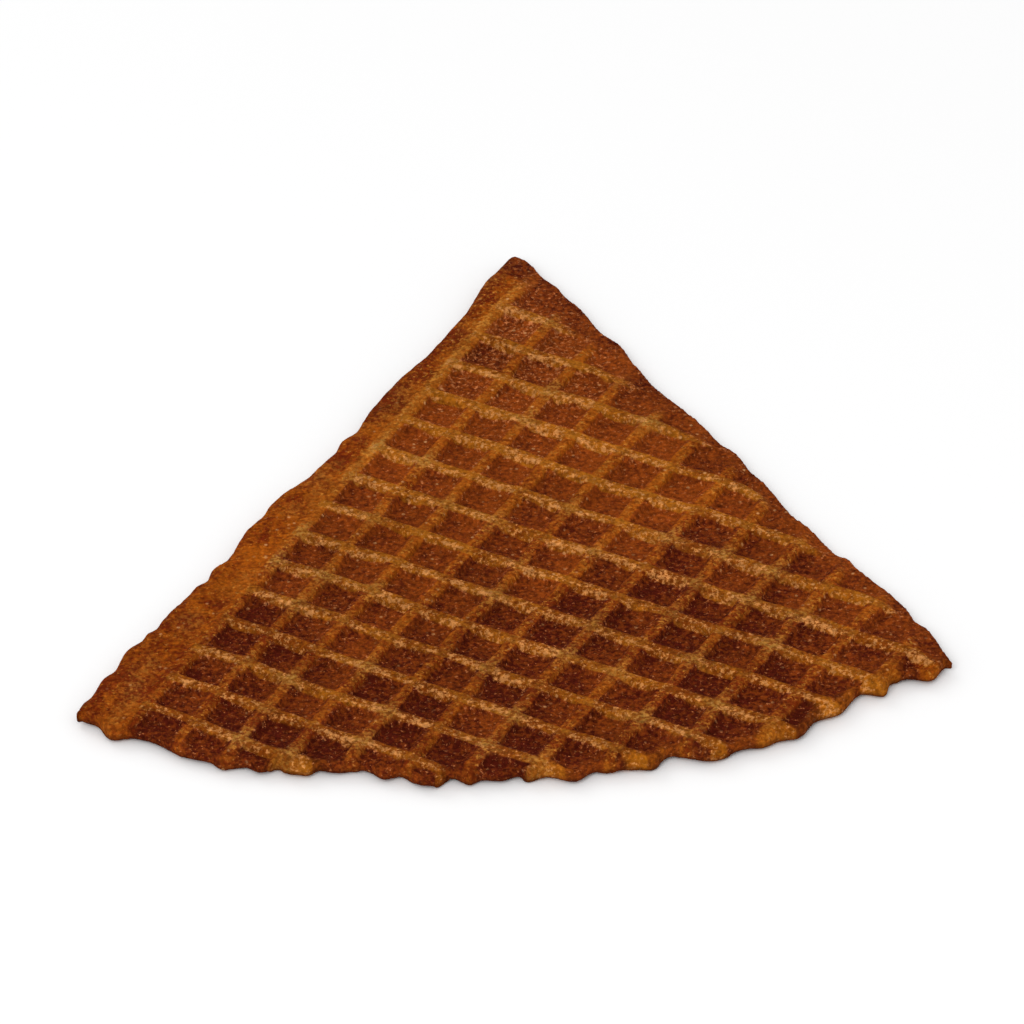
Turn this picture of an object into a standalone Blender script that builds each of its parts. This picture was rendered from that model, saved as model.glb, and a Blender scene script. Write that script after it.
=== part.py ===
"""Fan wafer: one thin crisp sector of sugar waffle, modelled as one closed solid.

The wafer lies flat, its tip towards +Y and its free, lobed edge towards -Y. Both faces carry the same square
grid of ridges and pockets, whose columns run almost along the left side. The plan is laid out from the tip,
split into triangles along the grid, extruded, and each face is then given its heights.
Lengths are in metres.
"""

import math

import bmesh
import bpy
from mathutils import Vector
from mathutils.geometry import delaunay_2d_cdt

NODE = "wafer"
MM = 0.001

# The square grid of ridges. A place in the grid is (a, b): a counts columns and b counts rows, in cells.
CELL = 6.0 * MM
ROW_ANGLE = math.radians(-28.45)
TIP_IN_GRID = (-0.69, 13.70)
COLUMNS = range(0, 13)
ROWS = range(-4, 14)

# Section of a ridge, as distances from its middle line, in cells.
SHOULDER = 0.11
FOOT = 0.19

# Heights on the upper face.
CROWN_TOP = 2.3 * MM
SHOULDER_TOP = 2.2 * MM
FLOOR_TOP = 1.5 * MM
BORDER_TOP = 2.05 * MM
BAND_TOP = 1.6 * MM
RIM_TOP = 1.7 * MM
RIGHT_RIM_TOP = 1.45 * MM

# The floors of the pockets lie a little higher or lower from cell to cell, as a sine of column and row.
FLOOR_VARIES = 0.07 * MM
FLOOR_TURNS = (2.3, 4.1)

# Heights on the lower face, which rests on its ridges and its left border.
FLOOR_UNDER = 0.5 * MM
BAND_UNDER = 0.3 * MM
RIM_UNDER = 0.45 * MM

# Width of the sloping rim, and of the band on the right side where the ridges fade out. The band starts just
# below the tip and ends past the corner, at these shares of the side's length.
RIM_WIDTH = 0.8 * MM
BAND_WIDTH = 2.8 * MM
BAND_ENDS = (0.03, 1.1)

# Slow wander of the grid lines and the sides: its size, its waves in radians per metre, and its start.
WANDER = 0.12 * MM
WANDER_WAVES = (190.0, 230.0)
WANDER_START = 1.0

# The batter spread further towards the right side: the shift of a point by x squared and by x times y, per metre.
SPREAD_X = 0.85
SPREAD_Y = 0.26

# Straight sides: how far each bows out, in mm, at distances from the tip in mm.
HALF_ANGLE = math.radians(30.0)
LEFT_BOW = (
    (0.0, 0.1), (3.5, -0.1), (5.5, -0.1), (14.0, -1.3), (20.0, -1.5), (29.0, -0.9), (34.0, -0.9), (39.0, -1.7),
    (41.0, -1.1), (43.2, -1.6), (48.0, -1.3), (55.0, -0.2), (57.5, -0.4), (61.0, -0.2), (66.3, -0.9),
    (69.0, -0.3), (71.0, -0.7), (73.0, -0.2), (80.0, 0.0), (81.2, -0.3), (82.8, 0.2), (84.0, 0.0), (86.5, 0.6),
    (90.3, -0.2), (92.3, 0.3), (95.8, -0.2), (97.0, 0.1), (99.2, -0.2),
)
RIGHT_BOW = (
    (0.0, 0.4), (3.0, 0.8), (5.2, 0.6), (8.5, 1.1), (9.8, 1.0), (13.0, 1.3), (17.5, 0.9), (21.0, 1.4),
    (25.3, 0.7), (29.2, 0.3), (38.0, 1.0), (42.0, 0.9), (44.6, 1.4), (48.5, 1.0), (51.5, 1.1), (57.5, 0.6),
    (60.0, 0.9), (65.3, 0.6), (67.0, 1.3), (68.5, 1.1), (77.5, 1.6), (79.6, 1.2), (81.2, 1.6), (88.0, 0.7),
)
SIDE_STEP = 2.5 * MM
TIP_ROUND = 0.9 * MM

# Free edge: crests and notches, as degrees from the middle line and distance from the tip in mm.
FREE_EDGE = (
    (-30.1, 98.5), (-28.6, 98.5), (-27.0, 99.9), (-25.6, 98.7), (-24.7, 98.5), (-21.5, 99.4), (-20.1, 99.1),
    (-19.3, 99.6), (-17.9, 98.4), (-16.9, 99.0), (-15.7, 97.6), (-15.3, 98.2), (-13.8, 98.1), (-13.1, 96.8),
    (-12.5, 97.0), (-10.3, 95.9), (-8.8, 97.2), (-8.0, 96.1), (-6.4, 97.4), (-5.6, 97.3), (-4.6, 95.7),
    (-3.4, 96.5), (-2.9, 95.8), (-1.5, 95.8), (-0.4, 95.0), (0.2, 95.6), (1.5, 95.1), (3.2, 96.1), (4.6, 94.5),
    (5.5, 94.7), (6.8, 94.4), (8.1, 94.6), (9.5, 92.8), (12.0, 94.2), (14.4, 92.9), (15.5, 93.0), (16.7, 92.4),
    (17.9, 92.5), (20.0, 90.2), (21.3, 90.0), (23.8, 87.6), (25.1, 88.7), (26.2, 87.0), (27.2, 87.2),
    (28.5, 88.7), (30.3, 87.2), (30.6, 87.3),
)
EDGE_STEPS = 2

# Points nearer to each other than this are one point.
WELD = 0.03 * MM

SHARP_ANGLE = math.radians(20.0)
ROUGHNESS = 0.7
BROWN = (0.33, 0.13, 0.03, 1.0)


def ease(t):
    """Smooth step from 0 to 1."""
    return t * t * (3.0 - 2.0 * t)


def along(points, x):
    """Value at x on the eased curve through (position, value) points."""
    for (x0, y0), (x1, y1) in zip(points, points[1:]):
        if x <= x1:
            return y0 + (y1 - y0) * ease((x - x0) / (x1 - x0))
    return points[-1][1]


def side_point(bow, turn, distance, inset=0.0):
    """Point of a side at a distance from the tip; turn is -1 for the left side and 1 for the right."""
    down = Vector((turn * math.sin(HALF_ANGLE), -math.cos(HALF_ANGLE)))
    outward = Vector((turn * math.cos(HALF_ANGLE), math.sin(HALF_ANGLE)))
    return down * distance + outward * (along(bow, distance / MM) * MM - inset)


def side_depth(bow, turn, point):
    """How far a point lies inside a side."""
    down = Vector((turn * math.sin(HALF_ANGLE), -math.cos(HALF_ANGLE)))
    outward = Vector((turn * math.cos(HALF_ANGLE), math.sin(HALF_ANGLE)))
    return along(bow, max(0.0, point.dot(down)) / MM) * MM - point.dot(outward)


def side_points(bow, turn):
    """Points down a side, from the rounded tip to just short of the corner."""
    distances = []
    for (start, _), (end, _) in zip(bow, bow[1:]):
        count = max(2, round((end - start) * MM / SIDE_STEP))
        distances += [(start + (end - start) * k / count) * MM for k in range(count)]
    return [side_point(bow, turn, distance) for distance in distances if distance >= TIP_ROUND]


def free_edge_points():
    """Points of the lobed edge from the left corner to the right one."""
    angles = []
    for (start, _), (end, _) in zip(FREE_EDGE, FREE_EDGE[1:]):
        angles += [start + (end - start) * k / EDGE_STEPS for k in range(EDGE_STEPS)]
    angles.append(FREE_EDGE[-1][0])
    points = []
    for angle in angles:
        radius = along(FREE_EDGE, angle) * MM
        turn = math.radians(angle)
        points.append(Vector((radius * math.sin(turn), -radius * math.cos(turn))))
    return points


def outline():
    """Closed outline, counter-clockwise seen from above: left side, free edge, right side."""
    left = side_points(LEFT_BOW, -1)
    right = side_points(RIGHT_BOW, 1)
    return [Vector((0.0, 0.0))] + left + free_edge_points() + right[::-1]


def shrink(points, inset):
    """The outline moved inwards, each point along its own normal."""
    inner = []
    for before, point, after in zip(points[-1:] + points[:-1], points, points[1:] + points[:1]):
        run = (after - before).normalized()
        inner.append(point + Vector((-run.y, run.x)) * inset)
    return inner


def to_plan(a, b):
    """Point on the plan of a place in the grid."""
    right = (a - TIP_IN_GRID[0]) * CELL
    up = (b - TIP_IN_GRID[1]) * CELL
    cos_row, sin_row = math.cos(ROW_ANGLE), math.sin(ROW_ANGLE)
    return Vector((right * cos_row - up * sin_row, right * sin_row + up * cos_row))


def to_grid(point):
    """Place in the grid of a point on the plan."""
    cos_row, sin_row = math.cos(ROW_ANGLE), math.sin(ROW_ANGLE)
    a = (point.x * cos_row + point.y * sin_row) / CELL + TIP_IN_GRID[0]
    b = (-point.x * sin_row + point.y * cos_row) / CELL + TIP_IN_GRID[1]
    return a, b


class Plan:
    """Points and lines that the flat wafer is split along."""

    def __init__(self):
        self.points = []
        self.lines = []

    def add_path(self, points, closed=False):
        """Adds a polyline and returns the numbers of its points."""
        first = len(self.points)
        numbers = list(range(first, first + len(points)))
        self.points += points
        self.lines += list(zip(numbers, numbers[1:]))
        if closed:
            self.lines.append((numbers[-1], numbers[0]))
        return numbers

    def add_pocket(self, column, row):
        """Adds a pocket's mouth, its floor and the mitres between them."""
        squares = []
        for margin in (SHOULDER, FOOT):
            low_a, high_a = column + margin, column + 1 - margin
            low_b, high_b = row + margin, row + 1 - margin
            corners = ((low_a, low_b), (high_a, low_b), (high_a, high_b), (low_a, high_b))
            squares.append(self.add_path([to_plan(a, b) for a, b in corners], closed=True))
        self.lines += list(zip(*squares))

    def add_grid(self):
        """Adds the pockets, the ridges' middle lines and the step down to the left border."""
        low_b, high_b = ROWS[0], ROWS[-1] + 1
        for column in COLUMNS:
            self.add_path([to_plan(column, low_b), to_plan(column, high_b)])
            for row in ROWS:
                self.add_pocket(column, row)
        for row in ROWS:
            self.add_path([to_plan(0, row), to_plan(COLUMNS[-1] + 1, row)])
        for margin in (SHOULDER, FOOT):
            self.add_path([to_plan(-margin, low_b), to_plan(-margin, high_b)])


def ridge_height(distance, floor):
    """Height at a distance in cells from a ridge's middle line, down to a floor."""
    if distance <= SHOULDER:
        return CROWN_TOP + (SHOULDER_TOP - CROWN_TOP) * distance / SHOULDER
    if distance <= FOOT:
        return SHOULDER_TOP + (floor - SHOULDER_TOP) * (distance - SHOULDER) / (FOOT - SHOULDER)
    return floor


def under_height(distance, ceiling):
    """The same on the lower face, where the ridges are flat and rest on the ground."""
    if distance <= SHOULDER:
        return 0.0
    return ceiling * min(1.0, (distance - SHOULDER) / (FOOT - SHOULDER))


def band_share(point):
    """1 where the ridges are whole, 0 where they have faded out beside the right side."""
    depth = side_depth(RIGHT_BOW, 1, point)
    return min(1.0, max(0.0, (depth - RIM_WIDTH) / (BAND_WIDTH - RIM_WIDTH)))


def top_height(point):
    """Height of the upper face over a point of the plan, away from the rim."""
    a, b = to_grid(point)
    if a < 0.0:
        height = ridge_height(-a, BORDER_TOP)
    else:
        turn = FLOOR_TURNS[0] * math.floor(a) + FLOOR_TURNS[1] * math.floor(b)
        floor = FLOOR_TOP + FLOOR_VARIES * math.sin(turn)
        height = max(ridge_height(abs(a - round(a)), floor), ridge_height(abs(b - round(b)), floor))
    return BAND_TOP + (height - BAND_TOP) * band_share(point)


def bottom_height(point):
    """Height of the lower face over a point of the plan, away from the rim."""
    a, b = to_grid(point)
    height = 0.0
    if a > 0.0:
        ceilings = (under_height(abs(a - round(a)), FLOOR_UNDER), under_height(abs(b - round(b)), FLOOR_UNDER))
        height = min(ceilings)
    return BAND_UNDER + (height - BAND_UNDER) * band_share(point)


def rim_top_height(point):
    """Height of the rim's upper edge, lower along the right side."""
    on_right = side_depth(RIGHT_BOW, 1, point) < WELD
    return RIGHT_RIM_TOP if on_right else RIM_TOP


def wander(point):
    """Shift of a point by the slow wander of the baked grid and by the uneven spread of the batter."""
    wave_x, wave_y = WANDER_WAVES
    shift_x = math.sin(wave_x * point.y + WANDER_START)
    shift_y = math.sin(wave_y * point.x - wave_x * point.y)
    spread = Vector((SPREAD_X * point.x**2, SPREAD_Y * point.x * point.y))
    return Vector((shift_x, shift_y)) * WANDER + spread


def split_plan():
    """The flat wafer as points and triangles that follow the grid, the rim and the band."""
    plan = Plan()
    edge = outline()
    face = plan.add_path(edge, closed=True)
    plan.add_path(shrink(edge, RIM_WIDTH), closed=True)
    side_length = RIGHT_BOW[-1][0] * MM
    plan.add_path([side_point(RIGHT_BOW, 1, share * side_length, BAND_WIDTH) for share in BAND_ENDS])
    plan.add_grid()
    points, _, triangles, _, _, owners = delaunay_2d_cdt(plan.points, plan.lines, [face], 0, WELD)
    return points, [triangle for triangle, owner in zip(triangles, owners) if owner]


def build_mesh():
    """Extrudes the split plan and gives both faces their heights."""
    points, triangles = split_plan()
    shape = bmesh.new()
    corners = [shape.verts.new((point.x, point.y, 0.0)) for point in points]
    for triangle in triangles:
        shape.faces.new([corners[number] for number in triangle])
    bmesh.ops.delete(shape, geom=[corner for corner in shape.verts if not corner.link_faces], context="VERTS")
    lower = list(shape.verts)
    rim = {corner for edge in shape.edges if edge.is_boundary for corner in edge.verts}
    raised = bmesh.ops.extrude_face_region(shape, geom=list(shape.faces), use_keep_orig=True)
    upper = [piece for piece in raised["geom"] if isinstance(piece, bmesh.types.BMVert)]
    rim_places = {(corner.co.x, corner.co.y) for corner in rim}
    for corner in lower:
        place = corner.co.xy
        corner.co.z = RIM_UNDER if corner in rim else bottom_height(place)
    for corner in upper:
        place = corner.co.xy
        corner.co.z = rim_top_height(place) if (place.x, place.y) in rim_places else top_height(place)
    for corner in shape.verts:
        corner.co.xy += wander(corner.co.xy)
    bmesh.ops.recalc_face_normals(shape, faces=shape.faces)
    centre_on_base(shape)
    mesh = bpy.data.meshes.new(NODE)
    shape.to_mesh(mesh)
    shape.free()
    return mesh


def centre_on_base(shape):
    """Moves the shape so that the middle of its base is at the origin."""
    low = Vector([min(corner.co[axis] for corner in shape.verts) for axis in range(3)])
    high = Vector([max(corner.co[axis] for corner in shape.verts) for axis in range(3)])
    shift = Vector((-(low.x + high.x) / 2, -(low.y + high.y) / 2, -low.z))
    bmesh.ops.translate(shape, verts=shape.verts, vec=shift)


def baked_brown():
    """Dry golden-brown crust."""
    material = bpy.data.materials.new("baked_wafer")
    material.use_nodes = True
    surface = material.node_tree.nodes["Principled BSDF"]
    surface.inputs["Base Color"].default_value = BROWN
    surface.inputs["Roughness"].default_value = ROUGHNESS
    surface.inputs["Metallic"].default_value = 0.0
    return material


def main():
    """Clears the scene and adds the wafer."""
    for thing in list(bpy.data.objects):
        bpy.data.objects.remove(thing)
    mesh = build_mesh()
    mesh.materials.append(baked_brown())
    mesh.shade_smooth()
    mesh.set_sharp_from_angle(angle=SHARP_ANGLE)
    wafer = bpy.data.objects.new(NODE, mesh)
    bpy.context.scene.collection.objects.link(wafer)


main()
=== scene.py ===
"""Visual model of a fan wafer.

A thin, crisp sector of sugar waffle lies flat with its tip away from the viewer. Both faces carry a square
grid of ridges and pockets, one side has a plain border, and the free edge is lobed. The crust is worked out
with numpy on lines that follow the grid, trimmed just inside the outline, and closed by a rounded rim.

Lengths are in metres, except where a name or a note says millimetres or cells. A place in the grid is
(a, b): a counts columns across the wafer and b counts rows towards the tip, in cells.
"""

import logging
import math
from dataclasses import dataclass, field
from enum import Enum

import bpy
import numpy as np
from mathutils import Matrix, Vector


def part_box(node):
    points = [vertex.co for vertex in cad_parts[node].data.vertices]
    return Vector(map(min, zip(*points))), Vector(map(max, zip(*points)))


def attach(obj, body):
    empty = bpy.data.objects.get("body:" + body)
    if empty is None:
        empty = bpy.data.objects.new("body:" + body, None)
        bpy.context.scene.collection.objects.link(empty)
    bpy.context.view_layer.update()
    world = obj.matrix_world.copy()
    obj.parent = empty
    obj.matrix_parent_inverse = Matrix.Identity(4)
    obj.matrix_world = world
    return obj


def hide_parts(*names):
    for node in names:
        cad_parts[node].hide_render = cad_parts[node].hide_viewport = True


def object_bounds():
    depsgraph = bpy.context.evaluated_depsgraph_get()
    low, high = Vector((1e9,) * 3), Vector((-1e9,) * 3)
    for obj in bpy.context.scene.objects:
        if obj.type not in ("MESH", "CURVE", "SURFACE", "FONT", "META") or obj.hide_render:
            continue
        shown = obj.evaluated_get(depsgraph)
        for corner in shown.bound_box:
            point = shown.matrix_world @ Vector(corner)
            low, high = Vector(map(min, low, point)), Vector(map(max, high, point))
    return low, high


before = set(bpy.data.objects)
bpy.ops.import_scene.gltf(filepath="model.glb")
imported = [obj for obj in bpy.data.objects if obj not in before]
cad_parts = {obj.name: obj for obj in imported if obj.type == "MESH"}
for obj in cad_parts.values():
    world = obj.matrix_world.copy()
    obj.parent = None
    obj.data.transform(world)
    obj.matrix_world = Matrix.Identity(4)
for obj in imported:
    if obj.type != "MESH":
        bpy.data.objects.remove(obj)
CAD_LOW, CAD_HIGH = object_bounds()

LOG = logging.getLogger("fan_wafer")
MM = 0.001
NODE = "wafer"
BODY = "root"

Knots = tuple[tuple[float, float], ...]
Colour = tuple[float, float, float]


class Side(Enum):
    """The two straight sides of the fan, by the sign of their x."""

    LEFT = -1
    RIGHT = 1


class Face(Enum):
    """The two faces of the sheet, by the way they look."""

    LOWER = -1
    UPPER = 1


def smooth_step(low: float, high: float | np.ndarray, value: np.ndarray) -> np.ndarray:
    """Rises from 0 at low to 1 at high as 3 t^2 - 2 t^3."""
    t = np.clip((value - low) / (high - low), 0.0, 1.0)
    return t * t * (3.0 - 2.0 * t)


def eased(knots: Knots, place: np.ndarray) -> np.ndarray:
    """Curve through knots that is flat at each one: y0 + (y1 - y0) (3 t^2 - 2 t^3) from knot to knot.

    Args:
        knots: (place, value) pairs in rising order of place.
        place: Where the curve is wanted.

    Returns:
        The curve's values.
    """
    places, values = np.array(knots).T
    span = np.clip(np.searchsorted(places, place, side="right") - 1, 0, len(places) - 2)
    t = np.clip((place - places[span]) / (places[span + 1] - places[span]), 0.0, 1.0)
    return values[span] + (values[span + 1] - values[span]) * t * t * (3.0 - 2.0 * t)


def closed_blur(values: np.ndarray, width: float) -> np.ndarray:
    """Blurs a closed run of values by a bell curve of a width in steps, by way of its Fourier series.

    Args:
        values: One value, or one row of values, for each step of the run.
        width: Width of the bell in steps.

    Returns:
        The blurred run.
    """
    rate = np.fft.rfftfreq(len(values))
    bell = np.exp(-2.0 * (math.pi * rate * width) ** 2)
    spectrum = np.fft.rfft(values, axis=0) * (bell[:, None] if values.ndim == 2 else bell)
    return np.fft.irfft(spectrum, n=len(values), axis=0)


def linear(red: int, green: int, blue: int) -> Colour:
    """Linear colour of 8-bit display values: ((c + 0.055) / 1.055)^2.4, or c / 12.92 where dark."""
    parts = [value / 255.0 for value in (red, green, blue)]
    return tuple(c / 12.92 if c <= 0.04045 else ((c + 0.055) / 1.055) ** 2.4 for c in parts)


@dataclass(frozen=True)
class Ramp:
    """A smooth change from start to end while what it reads goes from low to high."""

    low: float
    high: float
    start: float = 0.0
    end: float = 1.0

    def at(self, value: np.ndarray) -> np.ndarray:
        """The change at each value: start + (end - start) (3 t^2 - 2 t^3)."""
        return self.start + (self.end - self.start) * smooth_step(self.low, self.high, value)


@dataclass(frozen=True)
class Bell:
    """A bell curve: height times exp(-((value - middle) / width)^2)."""

    middle: float
    width: float
    height: float = 1.0

    def at(self, value: np.ndarray) -> np.ndarray:
        """The curve at each value."""
        return self.height * np.exp(-(((value - self.middle) / self.width) ** 2))


@dataclass(frozen=True)
class SmoothNoise:
    """Seeded noise from -1 to 1: random values on a square lattice, joined by smooth steps."""

    seed: int
    period: int = 64
    octave_shift: tuple[float, float] = (7.3, -3.1)

    def at(self, x: np.ndarray, y: np.ndarray) -> np.ndarray:
        """Blend of a lattice square's four corner values by 3 t^2 - 2 t^3 each way, one step per unit.

        Args:
            x: Places one way.
            y: Places the other way.

        Returns:
            The noise at each place.
        """
        table = np.random.default_rng(self.seed).uniform(-1.0, 1.0, (self.period, self.period))
        column, row = np.floor(x).astype(int), np.floor(y).astype(int)
        s, t = x - column, y - row
        s, t = s * s * (3.0 - 2.0 * s), t * t * (3.0 - 2.0 * t)
        left, right = column % self.period, (column + 1) % self.period
        near, far = row % self.period, (row + 1) % self.period
        front = table[left, near] * (1.0 - s) + table[right, near] * s
        back = table[left, far] * (1.0 - s) + table[right, far] * s
        return front * (1.0 - t) + back * t

    def fractal(self, x: np.ndarray, y: np.ndarray, octaves: int) -> np.ndarray:
        """Sum of octaves, each shifted and twice as fine and half as strong as the one before.

        Args:
            x: Places one way.
            y: Places the other way.
            octaves: Number of octaves.

        Returns:
            The noise at each place, from -1 to 1.
        """
        shift_x, shift_y = self.octave_shift
        layers = [self.at(x * 2**k + shift_x * k, y * 2**k + shift_y * k) * 0.5**k for k in range(octaves)]
        return sum(layers) / sum(0.5**k for k in range(octaves))


@dataclass(frozen=True)
class Mottle:
    """Blotches of seeded noise: how many fit in a unit each way, the octaves, and the strength."""

    seed: int
    across: float
    along: float
    octaves: int
    strength: float = 1.0

    def at(self, x: np.ndarray, y: np.ndarray) -> np.ndarray:
        """The noise at (across x, along y), times the strength."""
        return SmoothNoise(self.seed).fractal(x * self.across, y * self.along, self.octaves) * self.strength


@dataclass(frozen=True)
class CellDice:
    """One seeded random number from -1 to 1 for each cell or crossing of the grid."""

    seed: int
    size: int = 64

    def roll(self, column: np.ndarray, row: np.ndarray) -> np.ndarray:
        """The number of each (column, row)."""
        table = np.random.default_rng(self.seed).uniform(-1.0, 1.0, (self.size, self.size))
        return table[column.astype(int) % self.size, row.astype(int) % self.size]


@dataclass(frozen=True)
class Wander:
    """Slow sine wander of the baked sheet, with waves in radians per metre, and its spread to the right."""

    size: float = 0.12 * MM
    wave_x: float = 190.0
    wave_y: float = 230.0
    phase: float = 1.0
    spread_x: float = 0.85
    spread_y: float = 0.26

    def moved(self, plan: np.ndarray) -> np.ndarray:
        """Plan points shifted by (sin(w y + 1), sin(v x - w y)) times the size, and by (s x^2, t x y).

        Args:
            plan: Plan points, measured from the tip.

        Returns:
            The moved points.
        """
        x, y = plan[..., 0], plan[..., 1]
        shift = [np.sin(self.wave_x * y + self.phase), np.sin(self.wave_y * x - self.wave_x * y)]
        spread = [self.spread_x * x * x, self.spread_y * x * y]
        return plan + np.stack(shift, axis=-1) * self.size + np.stack(spread, axis=-1)


@dataclass
class Outline:
    """Closed outline of the fan, measured from its tip at (0, 0) and counter-clockwise seen from above."""

    half_angle: float = math.radians(30.0)
    tip_round: float = 0.9 * MM
    # How far a side bows out, in mm, at distances from the tip in mm.
    left_bow: Knots = (
        (0.0, 0.1), (3.5, -0.1), (5.5, -0.1), (14.0, -1.3), (20.0, -1.5), (29.0, -0.9), (34.0, -0.9),
        (39.0, -1.7), (41.0, -1.1), (43.2, -1.6), (48.0, -1.3), (55.0, -0.2), (57.5, -0.4), (61.0, -0.2),
        (66.3, -0.9), (69.0, -0.3), (71.0, -0.7), (73.0, -0.2), (80.0, 0.0), (81.2, -0.3), (82.8, 0.2),
        (84.0, 0.0), (86.5, 0.6), (90.3, -0.2), (92.3, 0.3), (95.8, -0.2), (97.0, 0.1), (99.2, -0.2),
    )
    right_bow: Knots = (
        (0.0, 0.4), (3.0, 0.8), (5.2, 0.6), (8.5, 1.1), (9.8, 1.0), (13.0, 1.3), (17.5, 0.9), (21.0, 1.4),
        (25.3, 0.7), (29.2, 0.3), (38.0, 1.0), (42.0, 0.9), (44.6, 1.4), (48.5, 1.0), (51.5, 1.1),
        (57.5, 0.6), (60.0, 0.9), (65.3, 0.6), (67.0, 1.3), (68.5, 1.1), (77.5, 1.6), (79.6, 1.2),
        (81.2, 1.6), (88.0, 0.7),
    )
    # Crests and notches of the free edge, as degrees from the middle line and distance from the tip in mm.
    free_edge: Knots = (
        (-30.1, 98.5), (-28.6, 98.5), (-27.0, 99.9), (-25.6, 98.7), (-24.7, 98.5), (-21.5, 99.4),
        (-20.1, 99.1), (-19.3, 99.6), (-17.9, 98.4), (-16.9, 99.0), (-15.7, 97.6), (-15.3, 98.2),
        (-13.8, 98.1), (-13.1, 96.8), (-12.5, 97.0), (-10.3, 95.9), (-8.8, 97.2), (-8.0, 96.1),
        (-6.4, 97.4), (-5.6, 97.3), (-4.6, 95.7), (-3.4, 96.5), (-2.9, 95.8), (-1.5, 95.8), (-0.4, 95.0),
        (0.2, 95.6), (1.5, 95.1), (3.2, 96.1), (4.6, 94.5), (5.5, 94.7), (6.8, 94.4), (8.1, 94.6),
        (9.5, 92.8), (12.0, 94.2), (14.4, 92.9), (15.5, 93.0), (16.7, 92.4), (17.9, 92.5), (20.0, 90.2),
        (21.3, 90.0), (23.8, 87.6), (25.1, 88.7), (26.2, 87.0), (27.2, 87.2), (28.5, 88.7), (30.3, 87.2),
        (30.6, 87.3),
    )
    degree_step: float = 0.1
    step: float = 0.1 * MM
    softening: float = 0.22 * MM
    ripple: Mottle = Mottle(11, 1 / 0.9, 0.0, 2, 0.05 * MM)
    block: int = 2000

    def __post_init__(self) -> None:
        """Works out the curve and its outward normals once."""
        self.curve = self._rippled(self._softened(self._even(Wander().moved(self._corners()))))
        self.normals = self._normals(self.curve)

    def _directions(self, side: Side) -> tuple[Knots, np.ndarray, np.ndarray]:
        """A side's bow, and the unit vectors down it and square out of it.

        Args:
            side: Which side.

        Returns:
            The bow, the vector down the side and the outward one.
        """
        bow = self.left_bow if side is Side.LEFT else self.right_bow
        down = np.array([side.value * math.sin(self.half_angle), -math.cos(self.half_angle)])
        outward = np.array([side.value * math.cos(self.half_angle), math.sin(self.half_angle)])
        return bow, down, outward

    def _side(self, side: Side) -> np.ndarray:
        """Points down a side: distance along it, plus the eased bow square to it.

        Args:
            side: Which side.

        Returns:
            The points, from the tip on.
        """
        bow, down, outward = self._directions(side)
        distance = np.arange(self.tip_round, bow[-1][0] * MM, 2.0 * self.step)
        return distance[:, None] * down + (eased(bow, distance / MM) * MM)[:, None] * outward

    def _free_edge(self) -> np.ndarray:
        """Points of the lobed edge in polar form round the tip: eased radius over angle.

        Returns:
            The points, from left to right.
        """
        angle = np.arange(self.free_edge[0][0], self.free_edge[-1][0], self.degree_step)
        radius = eased(self.free_edge, angle) * MM
        turn = np.radians(angle)
        return np.stack([radius * np.sin(turn), -radius * np.cos(turn)], axis=1)

    def _corners(self) -> np.ndarray:
        """Tip, left side, free edge and right side, one after the other."""
        left, right = self._side(Side.LEFT), self._side(Side.RIGHT)
        return np.concatenate([[[0.0, 0.0]], left, self._free_edge(), right[::-1]])

    def _even(self, points: np.ndarray) -> np.ndarray:
        """The closed polyline cut into equal steps by length.

        Args:
            points: Corners of the polyline.

        Returns:
            Points one step apart.
        """
        closed = np.concatenate([points, points[:1]])
        run = np.concatenate([[0.0], np.cumsum(np.linalg.norm(np.diff(closed, axis=0), axis=1))])
        places = np.linspace(0.0, run[-1], int(run[-1] / self.step), endpoint=False)
        return np.stack([np.interp(places, run, closed[:, axis]) for axis in (0, 1)], axis=1)

    def _softened(self, points: np.ndarray) -> np.ndarray:
        """The closed curve blurred along its length by a bell curve, which rounds its corners."""
        return closed_blur(points, self.softening / self.step)

    def _rippled(self, points: np.ndarray) -> np.ndarray:
        """The curve moved along its normals by fine crumbly noise."""
        run = np.arange(len(points)) * self.step / MM
        return points + self._normals(points) * self.ripple.at(run, run)[:, None]

    @staticmethod
    def _normals(points: np.ndarray) -> np.ndarray:
        """Outward unit normals of a counter-clockwise closed curve: its run turned a quarter to the right.

        Args:
            points: Points of the curve.

        Returns:
            One normal for each point.
        """
        run = np.roll(points, -2, 0) - np.roll(points, 2, 0)
        run /= np.linalg.norm(run, axis=1)[:, None]
        return np.stack([run[:, 1], -run[:, 0]], axis=1)

    def nearest(self, points: np.ndarray) -> tuple[np.ndarray, np.ndarray]:
        """Depth inside the outline and the place of the nearest curve point.

        Args:
            points: Plan points, measured from the tip.

        Returns:
            Depth of each point, positive inside, and the number of the curve point nearest to it.
        """
        depths, numbers = [], []
        for start in range(0, len(points), self.block):
            part = points[start : start + self.block]
            gap = ((part[:, None, :] - self.curve[None, ::2, :]) ** 2).sum(axis=2)
            distance = np.sqrt(gap.min(axis=1))
            depths.append(np.where(self._inside(part), distance, -distance))
            numbers.append(np.argmin(gap, axis=1) * 2)
        return np.concatenate(depths), np.concatenate(numbers)

    def _inside(self, points: np.ndarray) -> np.ndarray:
        """Whether points are inside: a line from each towards +X crosses the curve an odd number of times.

        Args:
            points: Plan points, measured from the tip.

        Returns:
            True for each point inside.
        """
        start, end = self.curve[::2], np.roll(self.curve[::2], -1, 0)
        x, y = points[:, :1], points[:, 1:]
        spans = (start[:, 1] <= y) != (end[:, 1] <= y)
        rise = np.where(start[:, 1] == end[:, 1], 1.0, end[:, 1] - start[:, 1])
        crossing = start[:, 0] + (y - start[:, 1]) / rise * (end[:, 0] - start[:, 0])
        return (spans & (x < crossing)).sum(axis=1) % 2 == 1

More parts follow.
